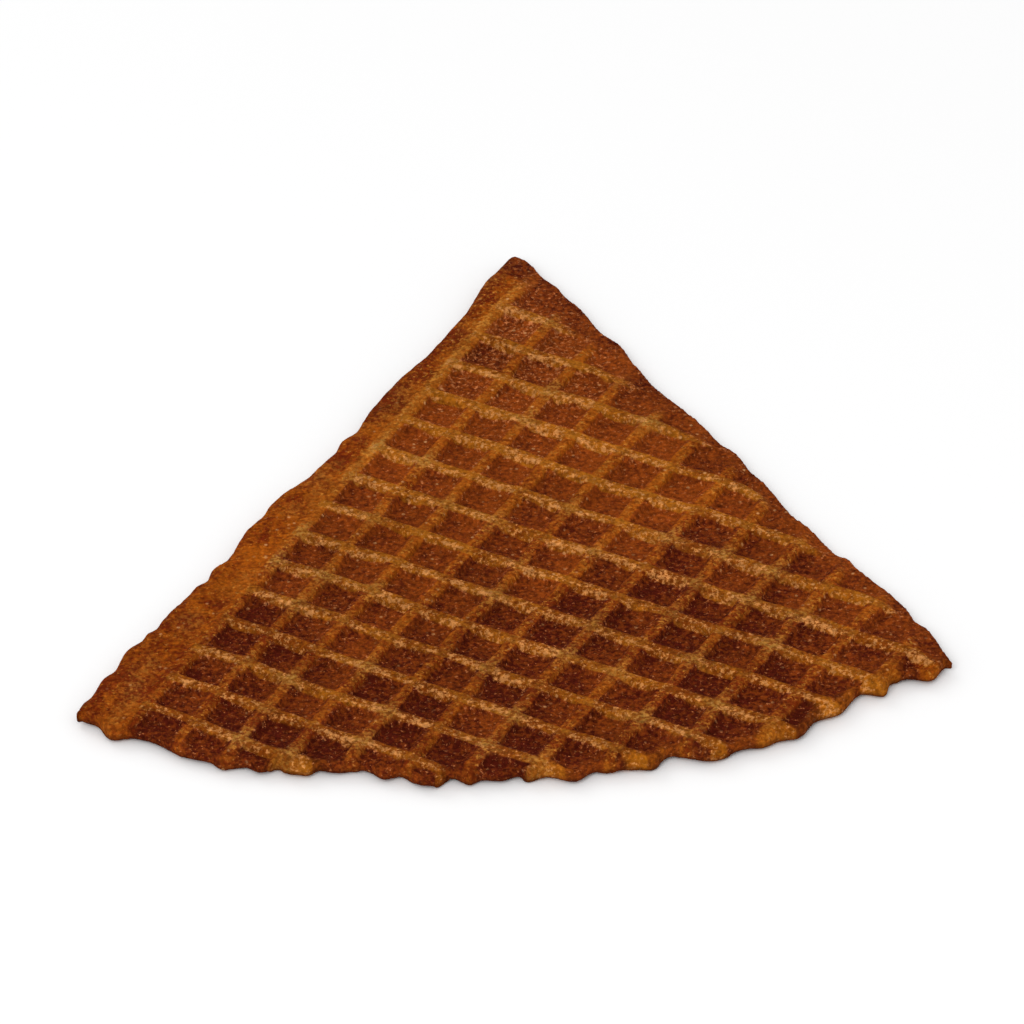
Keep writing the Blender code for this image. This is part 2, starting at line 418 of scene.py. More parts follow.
    def side_depth(self, side: Side, points: np.ndarray) -> np.ndarray:
        """How far points lie inside one straight side and its bow."""
        bow, down, outward = self._directions(side)
        return eased(bow, np.maximum(points @ down, 0.0) / MM) * MM - points @ outward

    def at(self, place: np.ndarray, inset: float) -> np.ndarray:
        """Points at places along the curve, in steps, moved inwards by inset.

        Args:
            place: Places along the curve, in steps.
            inset: How far inwards, in metres.

        Returns:
            Plan points.
        """
        low = np.floor(place).astype(int)
        share = (place - low)[:, None]
        low, high = low % len(self.curve), (low + 1) % len(self.curve)
        point = self.curve[low] * (1.0 - share) + self.curve[high] * share
        normal = self.normals[low] * (1.0 - share) + self.normals[high] * share
        return point - normal * inset


@dataclass(frozen=True)
class Grid:
    """The square grid of ridges and how it lies under the fan."""

    cell: float = 6.0 * MM
    row_angle: float = math.radians(-28.45)
    tip_a: float = -0.69
    tip_b: float = 13.70
    columns: tuple[int, int] = (-2, 13)
    rows: tuple[int, int] = (-4, 14)
    # Lines of points in one cell, close together on the ridges and walls and wider on the floor.
    lines: tuple[float, ...] = (
        0.0, 0.045, 0.085, 0.12, 0.155, 0.195, 0.26, 0.355, 0.45, 0.55, 0.645, 0.74, 0.805, 0.845, 0.88,
        0.915, 0.955,
    )

    def points(self) -> tuple[np.ndarray, np.ndarray]:
        """Columns and rows of every point of the sheet as two arrays on one rectangular lattice.

        Returns:
            The columns and the rows.
        """
        steps = np.array(self.lines)
        a = (np.arange(*self.columns)[:, None] + steps).ravel()
        b = (np.arange(*self.rows)[:, None] + steps).ravel()
        return np.meshgrid(a, b, indexing="ij")

    def to_plan(self, a: np.ndarray, b: np.ndarray) -> np.ndarray:
        """Plan points of grid places before the wander: scaled by the cell and turned by the row angle.

        Args:
            a: Columns.
            b: Rows.

        Returns:
            Plan points, measured from the tip.
        """
        right, up = (a - self.tip_a) * self.cell, (b - self.tip_b) * self.cell
        cos_row, sin_row = math.cos(self.row_angle), math.sin(self.row_angle)
        x, y = right * cos_row - up * sin_row, right * sin_row + up * cos_row
        return np.stack([x, y], axis=-1)


@dataclass(frozen=True)
class Places:
    """Where each point of the sheet lies, as the relief and the bake read it.

    Reach is from the tip and angle is from the middle line. Depth, left and right are how far a point lies
    inside the outline and its straight sides. Lengths are in mm and angles in degrees.
    """

    a: np.ndarray
    b: np.ndarray
    x: np.ndarray
    y: np.ndarray
    reach: np.ndarray
    angle: np.ndarray
    depth: np.ndarray
    left: np.ndarray
    right: np.ndarray
    ragged: np.ndarray


@dataclass(frozen=True)
class Batter:
    """How the batter lies at each point, as shares from 0 to 1.

    Row is the top and near wall of each row ridge, painted paler as a highlight where it faces the key light,
    and column is the tops of the column ridges; the plain border counts as a column. Band is 0 at the right
    side and 1 where the grid is whole. Gold is where the batter ran thin, and filled is where it ran back
    into the pockets.
    """

    row: np.ndarray
    column: np.ndarray
    band: np.ndarray
    gold: np.ndarray
    filled: np.ndarray


@dataclass(frozen=True)
class Bake:
    """How the surface is baked at each point, with painted highlight and shade, as shares from 0 to 1 that
    the finish reads.
    """

    row: np.ndarray
    column: np.ndarray
    crumb: np.ndarray
    dark: np.ndarray
    gold: np.ndarray
    frost: np.ndarray
    edge: np.ndarray

    def shares(self) -> dict[str, np.ndarray]:
        """The shares by name, which are also the names of the mesh's attributes."""
        return {name: getattr(self, name) for name in self.__dataclass_fields__}


@dataclass(frozen=True)
class RidgeLines:
    """Where the ridge tops show and where the rows' painted highlight lies, in cells across a row or a
    column.
    """

    fine: Mottle = Mottle(120, 4.0, 4.0, 2, 0.02)
    wide: Mottle = Mottle(123, 1.6, 1.6, 1, 0.035)
    # Painted highlight: each row is painted paler from its near wall to just past its crown, the side that
    # faces the key light.
    row_near: Ramp = Ramp(-0.175, -0.135)
    row_far: Ramp = Ramp(0.03, 0.12, 1.0, 0.0)
    row_start: Ramp = Ramp(-0.14, 0.02)
    column_right: Ramp = Ramp(0.1, 0.16, 1.0, 0.0)
    column_left: Ramp = Ramp(0.88, 0.97)

    def shift(self, places: Places) -> np.ndarray:
        """Ragged shift of the tops' borders: the two noises added."""
        return self.fine.at(places.a, places.b) + self.wide.at(places.a, places.b)

    def along(self, places: Places) -> np.ndarray:
        """Distance beyond the nearest row line, ragged."""
        return places.b - np.round(places.b) + self.shift(places)

    def rows(self, places: Places) -> np.ndarray:
        """Share of the rows' painted highlight: from the near wall of each, which faces the key light, to
        just past its crown, and none on the border.
        """
        along, start = self.along(places), self.row_start.at(places.a + self.shift(places))
        return self.row_near.at(along) * self.row_far.at(along) * start

    def columns(self, places: Places) -> np.ndarray:
        """Share of the columns, with 1 on the plain border.

        Args:
            places: Where the points lie.

        Returns:
            The share of each point.
        """
        across = places.a - np.floor(places.a) + self.shift(places)
        share = np.maximum(self.column_right.at(across), self.column_left.at(across))
        return np.where(places.a < 0.0, 1.0, share)


@dataclass(frozen=True)
class ThinBatter:
    """Where the batter ran thin and golden along the free edge, by mm from the tip and by degrees."""

    near_edge: Ramp = Ramp(80.0, 86.0)
    least: float = 0.2
    to_right: Ramp = Ramp(0.0, 24.0, 0.0, 0.7)
    to_right_ragged: float = 7.0
    past_it: Ramp = Ramp(22.0, 27.0, 1.0, 0.5)
    past_it_ragged: float = 2.0
    spots: tuple[Bell, ...] = (Bell(-14.0, 1.6, 0.6), Bell(1.8, 1.6, 0.6), Bell(8.0, 1.6, 0.6))
    fills_above: Ramp = Ramp(0.7, 1.0)
    fills_depth: Ramp = Ramp(0.5, 1.9, 1.0, 0.0)

    def gold(self, places: Places) -> np.ndarray:
        """Share of pale gold: a little all along the free edge, more to the right, and most in spots.

        Args:
            places: Where the points lie.

        Returns:
            The share of each point.
        """
        share = self.least + self.to_right.at(places.angle + self.to_right_ragged * places.ragged)
        share = np.clip(share + sum(spot.at(places.angle) for spot in self.spots), 0.0, 1.0)
        past_it = self.past_it.at(places.angle + self.past_it_ragged * places.ragged)
        return self.near_edge.at(places.reach) * share * past_it

    def filled(self, places: Places, gold: np.ndarray) -> np.ndarray:
        """Share of batter run back into the pockets: close to the free edge, where it is most golden."""
        return self.fills_above.at(gold) * self.fills_depth.at(places.depth + places.ragged)


@dataclass(frozen=True)
class Relief:
    """Heights of both faces, in mm above the ground, and the pockets' shapes, in cells."""

    crown_top: float = 2.27
    shoulder_top: float = 2.17
    first_ridge_top: float = 2.22
    floor_top: float = 1.5
    border_top: float = 2.05
    band_top: float = 1.6
    rim_top: float = 1.78
    gold_rim_rise: float = 0.1
    right_rim_drop: Ramp = Ramp(0.4, 1.2, 0.28, 0.0)
    floor_under: float = 0.5
    band_under: float = 0.3
    rim_under: float = 0.42
    upper_limits: tuple[float, float] = (0.9, 2.3)
    lower_limits: tuple[float, float] = (0.0, 0.8)
    pocket_half: float = 0.35
    pocket_varies: float = 0.012
    pocket_shift: float = 0.028
    pocket_corner: float = 0.065
    corner_varies: float = 0.02
    upper_seed: int = 100
    lower_seed: int = 200
    pocket_draws: int = 5
    wobble_seed: int = 9
    wall: Ramp = Ramp(-0.0375, 0.0375)
    fill_reach: float = 0.2
    wobble_rate: float = 2.4
    wobble: float = 0.03
    floor_dice: CellDice = CellDice(140)
    floor_varies: float = 0.08
    floor_mottle: Mottle = Mottle(141, 4.0, 4.0, 3, 0.05)
    border_slope: Ramp = Ramp(0.06, 0.2)
    border_mottle: Mottle = Mottle(142, 1.6, 1.6, 4, 0.06)
    grain: Mottle = Mottle(31, 1 / 1.1, 1 / 1.1, 2, 0.035)
    row_grain: float = 0.5
    under_grain: float = -0.1
    # The band by mm from the right side, and the lip by mm from the outline.
    band_start: float = 0.48
    band_end: Ramp = Ramp(22.0, 52.0, 6.6, 3.2)
    band_ragged: float = 0.8
    lip_start: float = 0.25
    lip_end: float = 0.75
    gold_lip: float = 0.25
    lip_ragged: float = 0.3

    def band(self, places: Places) -> np.ndarray:
        """0 along the right side, rising to 1 where the grid is whole; wider near the tip."""
        end = self.band_end.at(places.reach)
        return smooth_step(self.band_start, end, places.right + places.ragged * self.band_ragged)

    def _pocket_distance(self, places: Places, seed: int, filled: np.ndarray) -> np.ndarray:
        """Distance in cells out of the nearest pocket's mid-wall line, negative inside the pocket.

        Each pocket is a square with round corners: the length of the part of |p| beyond the square's straight
        reach, less the corner radius. Size, place and corners are drawn for each pocket. Where batter has run
        back into the pockets, the line draws in.

        Args:
            places: Where the points lie.
            seed: Start of the random draws.
            filled: Share from 0 to 1 of how far batter has run into the pockets.

        Returns:
            The distances.
        """
        column, row = np.floor(places.a), np.floor(places.b)
        roll = [CellDice(seed + k).roll(column, row) for k in range(self.pocket_draws)]
        across = np.abs(places.a - column - 0.5 - roll[0] * self.pocket_shift)
        along = np.abs(places.b - row - 0.5 - roll[1] * self.pocket_shift)
        corner = self.pocket_corner + roll[2] * self.corner_varies
        over_a = across - (self.pocket_half + roll[3] * self.pocket_varies - corner)
        over_b = along - (self.pocket_half + roll[4] * self.pocket_varies - corner)
        outside = np.hypot(np.maximum(over_a, 0.0), np.maximum(over_b, 0.0))
        inside = np.minimum(np.maximum(over_a, over_b), 0.0)
        wobble = Mottle(seed + self.wobble_seed, self.wobble_rate, self.wobble_rate, 2, self.wobble)
        return outside + inside - corner + wobble.at(places.a, places.b) + filled * self.fill_reach

    def _upper(self, places: Places, filled: np.ndarray) -> np.ndarray:
        """Upper face in mm, away from the rim: floors, walls up to shoulders, round crowns, and border.

        Args:
            places: Where the points lie.
            filled: Share of how far batter has run into the pockets.

        Returns:
            The heights.
        """
        a, b = places.a, places.b
        distance = self._pocket_distance(places, self.upper_seed, filled)
        crown = 1.0 - (1.0 - np.clip(distance / (0.5 - self.pocket_half), 0.0, 1.0)) ** 2
        floor = self.floor_top + self.floor_varies * self.floor_dice.roll(np.floor(a), np.floor(b))
        floor = floor + self.floor_mottle.at(a, b)
        height = floor + (self.shoulder_top - floor) * self.wall.at(distance)
        height = height + (self.crown_top - self.shoulder_top) * crown
        border = self.border_top + self.border_mottle.at(a, b) - self.first_ridge_top
        return np.where(a < 0.0, self.first_ridge_top + border * self.border_slope.at(-a), height)

    def _lower(self, places: Places, filled: np.ndarray) -> np.ndarray:
        """Lower face in mm, away from the rim: its ridges and its border rest on the ground."""
        ridge = self.wall.at(self._pocket_distance(places, self.lower_seed, filled))
        return self.floor_under * (1.0 - np.where(places.a < 0.0, 1.0, ridge))

    def heights(self, face: Face, places: Places, batter: Batter) -> np.ndarray:
        """Heights of one face.

        The grid's relief fades into the band along the right side and into the rim all round, and fine grain
        is laid over it.

        Args:
            face: Which face.
            places: Where the points lie.
            batter: How the batter lies there.

        Returns:
            Heights in mm.
        """
        if face is Face.UPPER:
            height, band_height = self._upper(places, batter.filled), self.band_top
            rim = self.rim_top + self.gold_rim_rise * batter.gold - self.right_rim_drop.at(places.right)
            grain, limits = 1.0 + self.row_grain * batter.row, self.upper_limits
        else:
            height, band_height = self._lower(places, batter.filled), self.band_under
            rim, grain, limits = self.rim_under, self.under_grain, self.lower_limits
        height = band_height + (height - band_height) * batter.band
        lip_end = self.lip_end + self.gold_lip * batter.gold
        lip = 1.0 - smooth_step(self.lip_start, lip_end, places.depth + places.ragged * self.lip_ragged)
        height = height + (rim - height) * lip
        return np.clip(height + self.grain.at(places.x, places.y) * grain, *limits)


@dataclass(frozen=True)
class DarkBakeAndShade:
    """Share of dark bake and of painted shade.

    It changes with mm from the tip, with cells across a pocket and with mm inside both sides, differs from
    pocket to pocket, and is mottled. Across a pocket it is painted shade: darker on the left side, where the
    column ridge's shadow falls, and a little lighter on the right side.
    """

    trend: tuple[Ramp, ...] = (
        Ramp(15.0, 42.0, 0.38, 0.22), Ramp(30.0, 88.0, 0.0, 0.44), Ramp(84.0, 93.0, 0.0, 0.15),
    )
    border: tuple[Ramp, ...] = (
        Ramp(40.0, 72.0, 0.2, -0.34), Ramp(76.0, 86.0, 0.0, 0.04), Ramp(86.0, 92.0, 0.0, 0.3),
    )
    border_mottle: Mottle = Mottle(53, 4.0, 3.0, 4, 0.65)
    # Painted shade: a pocket is darker past the wall on its left side, where the column ridge casts its
    # shadow, and a little lighter on its right side.
    pocket_left_shade: Ramp = Ramp(0.2, 0.6, 0.19, 0.0)
    left_wall: Ramp = Ramp(0.1, 0.25)
    pocket_right_light: Ramp = Ramp(0.55, 0.8, 0.0, -0.1)
    first_ridge: Bell = Bell(0.0, 0.16, -0.4)
    first_ridge_ends: Ramp = Ramp(30.0, 62.0, 1.0, 0.0)
    left_side: Ramp = Ramp(10.0, 24.0, 0.6, 0.25)
    left_depth: Ramp = Ramp(0.6, 2.6, 1.0, 0.0)
    right_side: Ramp = Ramp(28.0, 48.0, 0.3, -0.15)
    right_depth: Ramp = Ramp(1.5, 4.0, 1.0, 0.0)
    off_tip: Ramp = Ramp(1.0, 8.0)
    dice: CellDice = CellDice(50)
    by_pocket: float = 0.2
    slow: Mottle = Mottle(51, 1 / 3.5, 1 / 3.5, 2, 0.18)
    fine: Mottle = Mottle(52, 1.7, 1.7, 3, 0.28)

    def share(self, places: Places) -> np.ndarray:
        """Sum of the trend, the border or the pocket's painted shade, the first ridge, both sides and the
        noises.

        Args:
            places: Where the points lie.

        Returns:
            The share of each point.
        """
        a, b, reach = places.a, places.b, places.reach
        across = a - np.floor(a)
        # Painted shade across the pocket: darker on the left, lighter on the right.
        pocket = self.pocket_left_shade.at(across) * self.left_wall.at(across) + self.pocket_right_light.at(across)
        border = sum(ramp.at(reach) for ramp in self.border) + self.border_mottle.at(a, b)
        first_ridge = self.first_ridge.at(a) * self.first_ridge_ends.at(reach)
        sides = self.left_side.at(reach) * self.left_depth.at(places.left)
        sides = sides + self.right_side.at(reach) * self.right_depth.at(places.right)
        place = np.where(a < 0.0, border, pocket) + first_ridge + sides * self.off_tip.at(reach)
        by_pocket = self.by_pocket * self.dice.roll(np.floor(a), np.floor(b))
        noise = by_pocket + self.slow.at(a, b) + self.fine.at(a, b)
        return np.clip(sum(ramp.at(reach) for ramp in self.trend) + place + noise, 0.0, 1.0)


@dataclass(frozen=True)
class Crumbs:
    """Share of pale crumbs, most on the near edge of each row, in stretches of painted highlight."""

    everywhere: float = 0.13
    on_row: float = 0.15
    on_column: Ramp = Ramp(-0.25, 0.0, 0.0, 0.14)
    crossing_loss: float = 0.6
    # Painted highlight: pale stretches along the near edge of each row, which faces the key light.
    near_edge: Bell = Bell(-0.085, 0.075)
    near_edge_highlight_start: Ramp = Ramp(-0.14, 0.02)
    stretch_dice: CellDice = CellDice(121)
    stretch: Mottle = Mottle(122, 1.7, 1.7, 3)
    stretch_mean: float = 0.25
    stretch_varies: float = 0.16
    stretch_most: float = 0.6

    def share(self, places: Places, batter: Batter, lines: RidgeLines) -> np.ndarray:
        """Crumbs everywhere, more on the tops and on near edges, where they are a painted highlight, and
        fewer where a row crosses a column.

        Args:
            places: Where the points lie.
            batter: How the batter lies there.
            lines: Where the tops of the ridges show.

        Returns:
            The share of each point.
        """
        a, b = places.a, places.b
        stretch = self.stretch_dice.roll(np.floor(a), np.round(b)) + self.stretch.at(a, b)
        stretch = np.clip(self.stretch_mean + self.stretch_varies * stretch, 0.0, self.stretch_most)
        # Painted highlight in stretches along each row's near edge.
        near_edge = self.near_edge.at(lines.along(places)) * self.near_edge_highlight_start.at(a) * stretch
        share = self.everywhere + self.on_row * batter.row + self.on_column.at(a) * batter.column + near_edge
        return np.clip(share * (1.0 - self.crossing_loss * batter.row * batter.column), 0.0, 1.0)


@dataclass(frozen=True)
class Bloom:
    """Share of pale, smooth bloom on some crossings and in blotches on the border."""

    dice: CellDice = CellDice(60)
    chosen: Ramp = Ramp(0.0, 0.7, 0.0, 0.75)
    round_crossing: Bell = Bell(0.0, 0.27)
    blotch: Mottle = Mottle(61, 3.1, 3.1, 2, 0.6)
    blotch_mean: float = 0.9
    border: Bell = Bell(-0.45, 0.3, 0.3)
    border_mottle: Mottle = Mottle(62, 1.3, 0.9, 3)
    border_blotch: Ramp = Ramp(-0.1, 0.4)
    border_ends: float = -0.1

    def share(self, places: Places) -> np.ndarray:
        """A bell round each chosen crossing times blotches, and on the border a bell times blotches.

        Args:
            places: Where the points lie.

        Returns:
            The share of each point.
        """
        a, b = places.a, places.b
        column, row = np.round(a), np.round(b)
        crossing = self.chosen.at(self.dice.roll(column, row)) * (self.blotch_mean + self.blotch.at(a, b))
        crossing = crossing * self.round_crossing.at(np.hypot(a - column, b - row))
        border = self.border.at(a) * self.border_blotch.at(self.border_mottle.at(a, b))
        return np.clip(np.where(a < self.border_ends, border, crossing), 0.0, 1.0)


@dataclass(frozen=True)
class CrustPattern:
    """How the batter lies, how the crust is baked, and where light and shade are painted, from place to
    place.

    Ramps named after an edge or a side read mm inside it. Plain numbers are weights of one share in another.
    """

    lines: RidgeLines = RidgeLines()
    thin: ThinBatter = ThinBatter()
    dark: DarkBakeAndShade = DarkBakeAndShade()
    crumbs: Crumbs = Crumbs()
    bloom: Bloom = Bloom()
    on_side: Ramp = Ramp(0.6, 1.6, 1.0, 0.0)
    melted: Ramp = Ramp(0.35, 0.8, 1.0, 0.0)
    melted_ragged: float = 0.35
    burnt: Ramp = Ramp(0.4, 1.4, 1.0, 0.0)
    burnt_ragged: float = 0.4
    first_ridge: Bell = Bell(-0.02, 0.11)
    first_ridge_ends: Ramp = Ramp(30.0, 62.0, 1.0, 0.0)
    corner: Bell = Bell(2.8, 1.3)
    corner_starts: Ramp = Ramp(79.0, 86.0)
    corner_ragged: float = 2.0
    band_top_share: float = 0.1
    burnt_top_loss: float = 0.6
    melted_crust: float = 0.25
    corner_crust: float = 0.85
    filled_crust: float = 0.6
    border_ridge: float = 0.3
    spot_depth: Ramp = Ramp(0.5, 3.0, 1.0, 0.0)
    spot_ragged: Ramp = Ramp(-0.2, 0.7)
    melted_gold: float = 0.3
    spot_gold: float = 0.75
    filled_gold: float = 0.3
    first_ridge_gold: float = 0.4
    first_ridge_crumb: float = 0.2
    tip_pocket_crumb: Ramp = Ramp(15.0, 45.0, 0.25, 0.0)
    corner_crumb: float = 0.25
    band_crumb_share: float = 0.5
    burnt_crumb_loss: float = 0.5
    melted_pale: float = 0.3
    melted_pale_ragged: float = 0.5
    column_frost: Ramp = Ramp(-0.1, 0.05, 0.0, 0.1)
    first_ridge_frost: float = 0.15
    burnt_frost_loss: float = 0.8
    edge_depth: Ramp = Ramp(0.1, 0.45, 1.0, 0.0)
    edge_ragged: float = 0.15
    edge_starts: Ramp = Ramp(2.0, 9.0)

    def batter(self, places: Places, band: np.ndarray) -> Batter:
        """How the batter lies at each place, with the band's share.

        Args:
            places: Where the points lie.
            band: Share of the band along the right side.

        Returns:
            The shares of the batter.
        """
        row, column = self.lines.rows(places), self.lines.columns(places)
        gold = self.thin.gold(places)
        return Batter(row, column, band, gold, self.thin.filled(places, gold))

    def bake(self, places: Places, batter: Batter) -> Bake:
        """How the crust is baked at each place, with its painted highlight and painted shade.

        Args:
            places: Where the points lie.
            batter: How the batter lies there.

        Returns:
            The shares that the finish reads.
        """
        a, reach, depth, ragged = places.a, places.reach, places.depth, places.ragged
        row, column, band, gold = batter.row, batter.column, batter.band, batter.gold
        on_side = self.on_side.at(np.minimum(places.left, places.right))
        melted = self.melted.at(depth + ragged * self.melted_ragged) * (1.0 - on_side)
        burnt = self.burnt.at(depth + ragged * self.burnt_ragged) * (1.0 - on_side) * (1.0 - gold)
        first_ridge = self.first_ridge.at(a) * self.first_ridge_ends.at(reach)
        corner = self.corner.at(places.right) * self.corner_starts.at(reach + self.corner_ragged * ragged)
        ridge = np.maximum(row, np.where(a < 0.0, self.border_ridge, column))

        kept = self.band_top_share + (1.0 - self.band_top_share) * band
        kept = kept * (1.0 - self.burnt_top_loss * burnt)
        crust = np.maximum(self.melted_crust * melted * gold**2, self.corner_crust * corner)
        crust = np.maximum(np.maximum(column * kept, self.filled_crust * batter.filled), crust)

        spot = ridge * self.spot_depth.at(depth + ragged) * self.spot_ragged.at(ragged + gold)
        golden = self.melted_gold * melted * gold + self.spot_gold * spot + self.filled_gold * batter.filled
        golden = np.maximum(gold * golden, self.first_ridge_gold * first_ridge * band)

        crumb = self.crumbs.share(places, batter, self.lines) + self.first_ridge_crumb * first_ridge
        crumb = crumb + (1.0 - ridge) * self.tip_pocket_crumb.at(reach) + self.corner_crumb * corner
        crumb = crumb * (self.band_crumb_share + (1.0 - self.band_crumb_share) * band)

        pale = (self.melted_pale + self.melted_pale_ragged * ragged) * melted
        frost = self.bloom.share(places) + column * self.column_frost.at(a)
        frost = (frost + self.first_ridge_frost * first_ridge) * np.maximum(row, column) * band
        edge = self.edge_depth.at(depth + ragged * self.edge_ragged)
        return Bake(
            row=row * kept,
            column=crust,
            crumb=crumb * (1.0 - self.burnt_crumb_loss * burnt),
            dark=np.clip(self.dark.share(places) - pale, 0.0, 1.0),
            gold=np.clip(golden, 0.0, 1.0),
            frost=frost * (1.0 - self.burnt_frost_loss * burnt),
            edge=edge * on_side * self.edge_starts.at(reach),
        )


@dataclass(frozen=True)
class Rim:
    """Rounded edge of the sheet, carried round the outline. Its noises read mm along the outline."""

    inset: float = 0.5 * MM
    rings: int = 9
    round_out: float = 0.6
    round_up: float = 0.62
    fan_out: float = 7.0
    rough: float = 0.06
    rough_long: Mottle = Mottle(70, 1 / 1.3, 0.0, 3, 0.6)
    rough_fine: Mottle = Mottle(71, 1 / 0.6, 2.0, 2)
    # The lower part of the rim is darker, a dark line along its lower edges.
    darker_foot: Ramp = Ramp(-0.85, 0.0, 1.0, 0.0)

    def profile(self) -> tuple[np.ndarray, np.ndarray, np.ndarray]:
        """Section of the rim from the upper face round to the lower one, as a superellipse.

        The inset is 1 - |sin t|^p and the height share is sign(cos t) |cos t|^q, for t from 0 to half a turn.

        Returns:
            Share of the inset, height share from 1 to -1, and how far out each ring is, for the inner rings.
        """
        turn = np.linspace(0.0, math.pi, self.rings + 2)[1:-1]
        out = np.sin(turn) ** self.round_out
        up = np.sign(np.cos(turn)) * np.abs(np.cos(turn)) ** self.round_up
        return 1.0 - out, up, out


@dataclass
class WaferSheet:
    """The whole crisp sheet: both faces and the rim as one closed surface."""

    outline: Outline = field(default_factory=Outline)
    grid: Grid = field(default_factory=Grid)
    relief: Relief = field(default_factory=Relief)
    pattern: CrustPattern = field(default_factory=CrustPattern)
    rim: Rim = field(default_factory=Rim)
    ragged: Mottle = Mottle(30, 1 / 2.5, 1 / 2.5, 3)
    trim_slack: float = 0.12 * MM
    border_blur: float = 0.8

    def build(self) -> bpy.types.Object:
        """Makes the wafer's mesh with its bake attributes, which also carry painted light and shade, and puts
        it in the frame's place.

        Returns:
            The new object, at the origin, with its place in its mesh.
        """
        a, b = self.grid.points()
        plain = self.grid.to_plan(a, b).reshape(-1, 2)
        flat = Wander().moved(plain)
        depth, place = self.outline.nearest(flat)
        quads = self._quads((depth > self.rim.inset - self.trim_slack).reshape(a.shape))
        used, quads = np.unique(quads, return_inverse=True)
        quads = quads.reshape(-1, 4)
        a, b, plain, flat = a.ravel()[used], b.ravel()[used], plain[used], flat[used]
        depth, place = depth[used], place[used]
        border = self._loop(self._open_edges(quads))
        border = np.roll(border, -np.argmin(place[border]))
        place = np.sort(place[border])
        flat[border] = closed_blur(self.outline.at(place, self.rim.inset), self.border_blur)
        depth[border] = self.rim.inset
        places = self._places(a, b, plain, depth)
        batter = self.pattern.batter(places, self.relief.band(places))
        upper = self.relief.heights(Face.UPPER, places, batter)
        lower = self.relief.heights(Face.LOWER, places, batter)
        bake = self.pattern.bake(places, batter).shares()
        rim, rim_quads, rim_bake = self._rim(border, flat, place, upper, lower, bake)
        points = np.concatenate([
            np.column_stack([flat, upper * MM]), np.column_stack([flat, lower * MM]), rim,
        ])
        faces = np.concatenate([quads, quads[:, ::-1] + len(used), rim_quads])
        bake = {name: np.concatenate([share, share, rim_bake[name]]) for name, share in bake.items()}
        return self._object(points, faces, bake)

    @staticmethod
    def _quads(keep: np.ndarray) -> np.ndarray:
        """Corner numbers of the lattice's squares with four kept corners, counter-clockwise from above.

        A square that has no such neighbour on either side, one way or the other, is left out.

        Args:
            keep: Whether each point of the lattice is kept.

        Returns:
            Four point numbers for each square.
        """
        number = np.arange(keep.size).reshape(keep.shape)
        corners = np.stack([number[:-1, :-1], number[1:, :-1], number[1:, 1:], number[:-1, 1:]], axis=-1)
        whole = keep[:-1, :-1] & keep[1:, :-1] & keep[1:, 1:] & keep[:-1, 1:]
        solid = whole.copy()
        solid[1:-1, 1:-1] &= (whole[:-2, 1:-1] | whole[2:, 1:-1]) & (whole[1:-1, :-2] | whole[1:-1, 2:])
        return corners[solid]

    @staticmethod
    def _open_edges(quads: np.ndarray) -> np.ndarray:
        """Edges that only one square uses, in that square's direction.

        Args:
            quads: Four point numbers for each square.

        Returns:
            Start and end of each open edge.
        """
        edges = np.concatenate([quads[:, [k, (k + 1) % 4]] for k in range(4)])
        low, high = edges.min(axis=1), edges.max(axis=1)
        key = low.astype(np.int64) * (quads.max() + 1) + high
        _, first, count = np.unique(key, return_index=True, return_counts=True)
        return edges[first[count == 1]]

    @staticmethod
    def _loop(edges: np.ndarray) -> np.ndarray:
        """Point numbers of the closed run of open edges, in order.

        Each point's count of steps to the first point is found by doubling: its count plus that of the point
        it leads to, which then leads twice as far.

        Args:
            edges: Start and end of each open edge.

        Returns:
            The numbers, one for each edge.
        """
        numbers, leads_to = np.unique(edges[:, 0]), np.empty(len(edges), dtype=int)
        start, end = np.searchsorted(numbers, edges[:, 0]), np.searchsorted(numbers, edges[:, 1])
        leads_to[start] = end
        leads_to[0] = 0
        steps = np.where(np.arange(len(edges)) == 0, 0, 1)
        for _ in range(len(edges).bit_length()):
            steps, leads_to = steps + steps[leads_to], leads_to[leads_to]
        return numbers[np.argsort(-steps)]

    def _places(self, a: np.ndarray, b: np.ndarray, plain: np.ndarray, depth: np.ndarray) -> Places:
        """Measures of points of the sheet.

        Args:
            a: Columns of the points.
            b: Rows of the points.
            plain: Plan points before the wander.
            depth: Depths of the points inside the outline.

        Returns:
            Where the points lie.
        """
        x, y = plain.T / MM
        left, right = (self.outline.side_depth(side, plain) / MM for side in Side)
        angle = np.degrees(np.arctan2(x, -y))
        return Places(a, b, x, y, np.hypot(x, y), angle, depth / MM, left, right, self.ragged.at(x, y))

